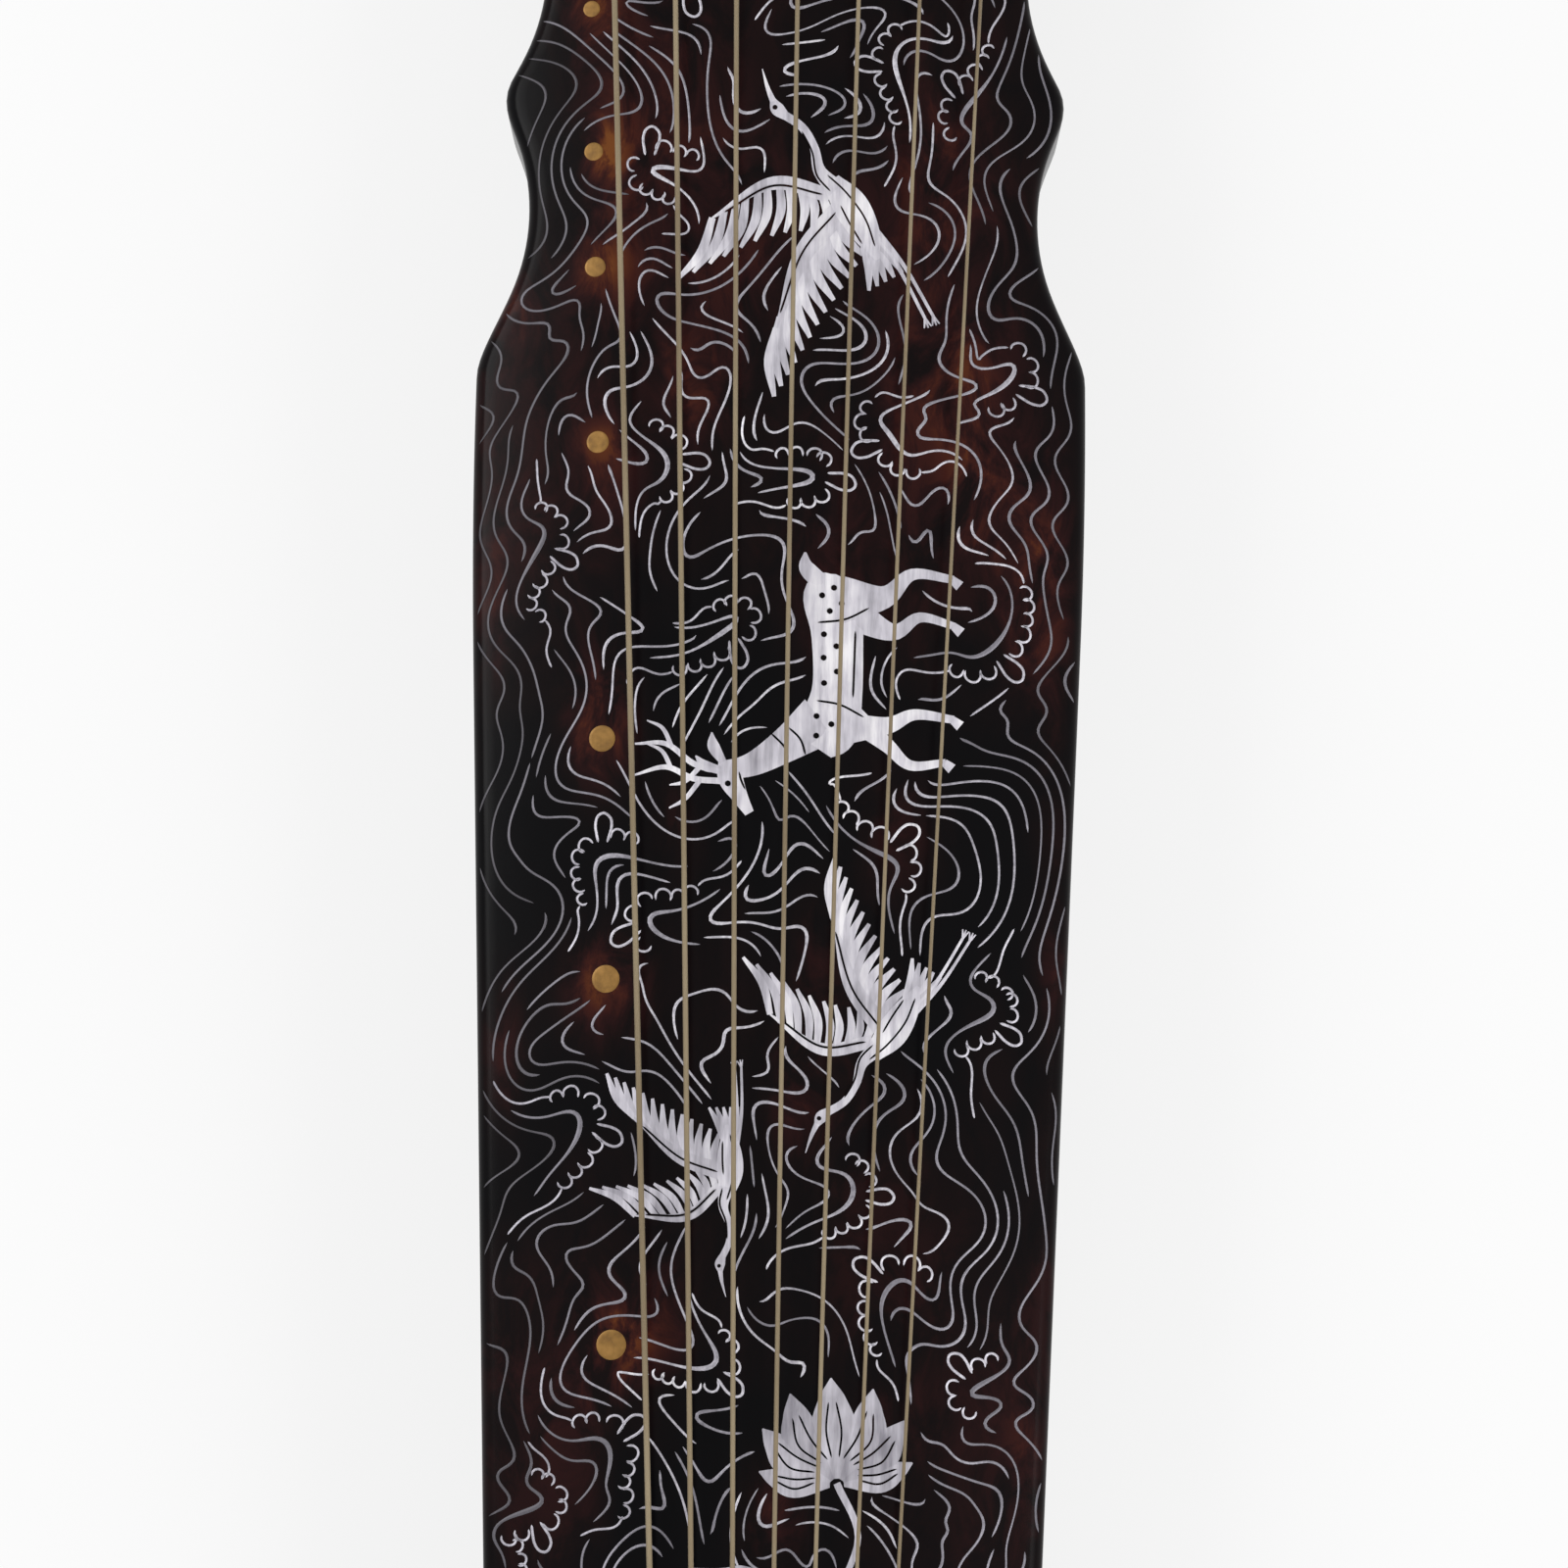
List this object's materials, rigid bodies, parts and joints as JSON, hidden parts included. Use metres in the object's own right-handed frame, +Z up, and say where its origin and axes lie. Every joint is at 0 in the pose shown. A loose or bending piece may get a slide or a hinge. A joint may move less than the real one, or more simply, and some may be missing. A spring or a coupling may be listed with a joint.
{
  "type": "guqin",
  "caption": "Long fretless plucked zither: a lacquered hollow box with an arched top, inlaid round studs, strings over a bridge and a nut, turning pegs under the head and short feet.",
  "frame": {"origin": "middle of the instrument's footprint, on the surface that its feet stand on", "axes": "+Y along the board towards the head, +X across it away from the inlaid studs, +Z up"},
  "size_m": [0.1924, 1.222, 0.1008],
  "materials": {
    "lacquer": "polished black lacquer with red-brown mottling and silver line ornament",
    "hardwood": "oiled dark rosewood",
    "raw_wood": "bare fir",
    "hui_brass": "brushed, slightly tarnished",
    "string_silk": "wound, pale straw",
    "loop_silk": "twisted, dark red"
  },
  "bodies": {
    "body": {"soundboard": "lacquer", "bottom_board": "lacquer", "bridge": "hardwood", "string_hole_plate": "hardwood", "nut": "hardwood", "lower_nut": "hardwood", "tail_crown_left": "hardwood", "tail_crown_right": "hardwood", "peg_pool_plate": "hardwood", "dragon_pool_liner": "hardwood", "phoenix_pond_liner": "hardwood", "goose_foot_left": "hardwood", "goose_foot_right": "hardwood", "peg_protector_left": "hardwood", "peg_protector_right": "hardwood", "foot_socket_left": "raw_wood", "foot_socket_right": "raw_wood", "heaven_pillar": "raw_wood", "earth_pillar": "raw_wood", "tuning_loop_1": "loop_silk", "tuning_loop_2": "loop_silk", "tuning_loop_3": "loop_silk", "tuning_loop_4": "loop_silk", "tuning_loop_5": "loop_silk", "tuning_loop_6": "loop_silk", "tuning_loop_7": "loop_silk", "string_1": "string_silk", "string_2": "string_silk", "string_3": "string_silk", "string_4": "string_silk", "string_5": "string_silk", "string_6": "string_silk", "string_7": "string_silk", "hui_1": "hui_brass", "hui_2": "hui_brass", "hui_3": "hui_brass", "hui_4": "hui_brass", "hui_5": "hui_brass", "hui_6": "hui_brass", "hui_7": "hui_brass", "hui_8": "hui_brass", "hui_9": "hui_brass", "hui_10": "hui_brass", "hui_11": "hui_brass", "hui_12": "hui_brass", "hui_13": "hui_brass"},
    "peg_1": {"peg_1": "hardwood"},
    "peg_2": {"peg_2": "hardwood"},
    "peg_3": {"peg_3": "hardwood"},
    "peg_4": {"peg_4": "hardwood"},
    "peg_5": {"peg_5": "hardwood"},
    "peg_6": {"peg_6": "hardwood"},
    "peg_7": {"peg_7": "hardwood"}
  },
  "joints": [
    {"name": "peg_1_turn", "type": "hinge", "parent": "body", "child": "peg_1", "pos_m": [-0.0595, 0.55905, 0.03], "axis": [0, 0, 1], "range_deg": [-900, 900]},
    {"name": "peg_2_turn", "type": "hinge", "parent": "body", "child": "peg_2", "pos_m": [-0.0385, 0.55905, 0.03], "axis": [0, 0, 1], "range_deg": [-900, 900]},
    {"name": "peg_3_turn", "type": "hinge", "parent": "body", "child": "peg_3", "pos_m": [-0.0175, 0.55905, 0.03], "axis": [0, 0, 1], "range_deg": [-900, 900]},
    {"name": "peg_4_turn", "type": "hinge", "parent": "body", "child": "peg_4", "pos_m": [0.0035, 0.55905, 0.03], "axis": [0, 0, 1], "range_deg": [-900, 900]},
    {"name": "peg_5_turn", "type": "hinge", "parent": "body", "child": "peg_5", "pos_m": [0.0245, 0.55905, 0.03], "axis": [0, 0, 1], "range_deg": [-900, 900]},
    {"name": "peg_6_turn", "type": "hinge", "parent": "body", "child": "peg_6", "pos_m": [0.0455, 0.55905, 0.03], "axis": [0, 0, 1], "range_deg": [-900, 900]},
    {"name": "peg_7_turn", "type": "hinge", "parent": "body", "child": "peg_7", "pos_m": [0.0665, 0.55905, 0.03], "axis": [0, 0, 1], "range_deg": [-900, 900]}
  ]
}
